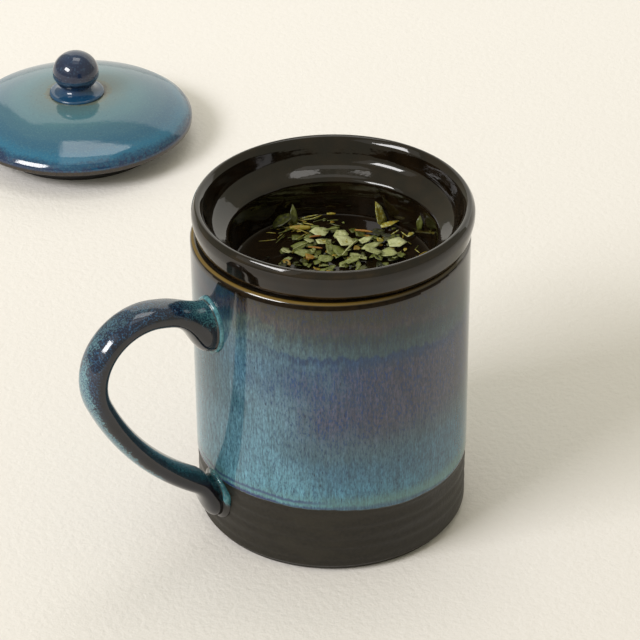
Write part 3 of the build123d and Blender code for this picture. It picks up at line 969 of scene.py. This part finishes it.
# The near-black stop at 0.545, on the ball's underside just above the neck, is painted shade
colour = knob.ramp(knob.times(level, 0.02), [
    (0.43, linear(26, 72, 108)), (0.50, linear(18, 52, 88)), (0.545, linear(16, 22, 40)), (0.575, linear(44, 68, 96)),
    (0.61, linear(22, 34, 62)), (0.70, linear(26, 38, 66)), (0.775, linear(34, 52, 82))])
colour = knob.mix(knob.span(dots, 0.55, 0.7, 0.0, 0.4), colour, linear(70, 100, 126))
knob.colour(colour)
knob.bump(cloud, 0.00004)
lid_ball.data.materials.append(knob.material)

# ---------------------------------------------------------------- floor, light and camera
floor = new_piece("floor", [(-3, -3, 0), (3, -3, 0), (3, 3, 0), (-3, 3, 0)], [(0, 1, 2, 3)])
floor.data.transform(Matrix.Translation((0, 0, -0.00005)))
paper = Shader("pale_floor", 0.85)
fibre = paper.noise(420.0, 4.0, 0.6)
broad = paper.noise(3.0, 2.0, 0.5)
place = paper.node("ShaderNodeSeparateXYZ")
paper.link(paper.coordinates, place.inputs[0])
# Painted light: the floor's colour grows lighter further from the camera, toward the back
away = paper.plus(paper.times(place.outputs["X"], 0.52), paper.times(place.outputs["Y"], 0.855))
away = paper.plus(away, paper.spread(broad, 0.3, 0.7, -0.03, 0.03))
paper.colour(paper.mix(paper.span(away, -0.22, 0.42), linear(228, 224, 221), linear(242, 239, 238)))
paper.bump(fibre, 0.0006, 0.6)
paper.surface.inputs["Specular IOR Level"].default_value = 0.2
floor.data.materials.append(paper.material)


HEADING = math.radians(31.234)


def panel(name, centre, toward, width, tall, radiance, colour=(1.0, 0.98, 0.95)):
    """A softbox, placed in the camera's heading: centre and toward are (right, away, up) in metres."""
    turn = Matrix.Rotation(-HEADING, 3, "Z")
    place, aim = turn @ Vector(centre), turn @ Vector(toward)
    data = bpy.data.lights.new(name, "AREA")
    data.shape, data.size, data.size_y = "RECTANGLE", width, tall
    data.energy, data.color = radiance * math.pi * width * tall, colour
    lamp = bpy.data.objects.new(name, data)
    scene.collection.objects.link(lamp)
    lamp.location = place
    lamp.rotation_mode = "QUATERNION"
    lamp.rotation_quaternion = (place - aim).to_track_quat("Z", "Y")
    lamp.visible_camera = False


key_direction = Vector((-0.656, -0.428, 0.620))
panel("key_softbox", key_direction * 2.4, (0, 0, 0.05), 2.1, 1.6, 0.4)
panel("key_core", key_direction * 2.35, (0, 0, 0.05), 1.06, 0.68, 16.9, (1.0, 0.985, 0.98))
panel("far_screen", (1.02, 1.75, 0.88), (1.02, 0, 0.88), 3.54, 1.72, 0.78)
panel("top_panel", (0.05, 0.72, 2.0), (0.0, 0.1, 0.05), 0.95, 0.66, 2.5)
panel("near_panel", (0.0, 0.02, 2.05), (0.0, 0.0, 0.05), 1.0, 0.60, 0.6)

world = bpy.data.worlds.new("studio")
scene.world = world
world.use_nodes = True
tree = world.node_tree
tree.nodes.clear()
output = tree.nodes.new("ShaderNodeOutputWorld")
dim = tree.nodes.new("ShaderNodeBackground")
dim.inputs["Color"].default_value = (1.0, 0.955, 0.73, 1.0)
dim.inputs["Strength"].default_value = 0.48
tree.links.new(dim.outputs[0], output.inputs[0])

scene.view_settings.view_transform = "Standard"

pitch, roll = math.radians(32.42), math.radians(-0.464)
forward = Vector((math.sin(HEADING) * math.cos(pitch), math.cos(HEADING) * math.cos(pitch), -math.sin(pitch)))
right = Vector((math.cos(HEADING), -math.sin(HEADING), 0))
up = right.cross(forward)
right2 = math.cos(roll) * right + math.sin(roll) * up
up2 = -math.sin(roll) * right + math.cos(roll) * up
camera_data = bpy.data.cameras.new("camera")
camera_data.sensor_width = 36.0
camera_data.lens = 157.0
camera_data.clip_start, camera_data.clip_end = 0.05, 30.0
camera = bpy.data.objects.new("camera", camera_data)
scene.collection.objects.link(camera)
rotation = Matrix((right2, up2, -forward)).transposed()
camera.matrix_world = Matrix.Translation((-0.3837, -0.6261, 0.5324)) @ rotation.to_4x4()
scene.camera = camera
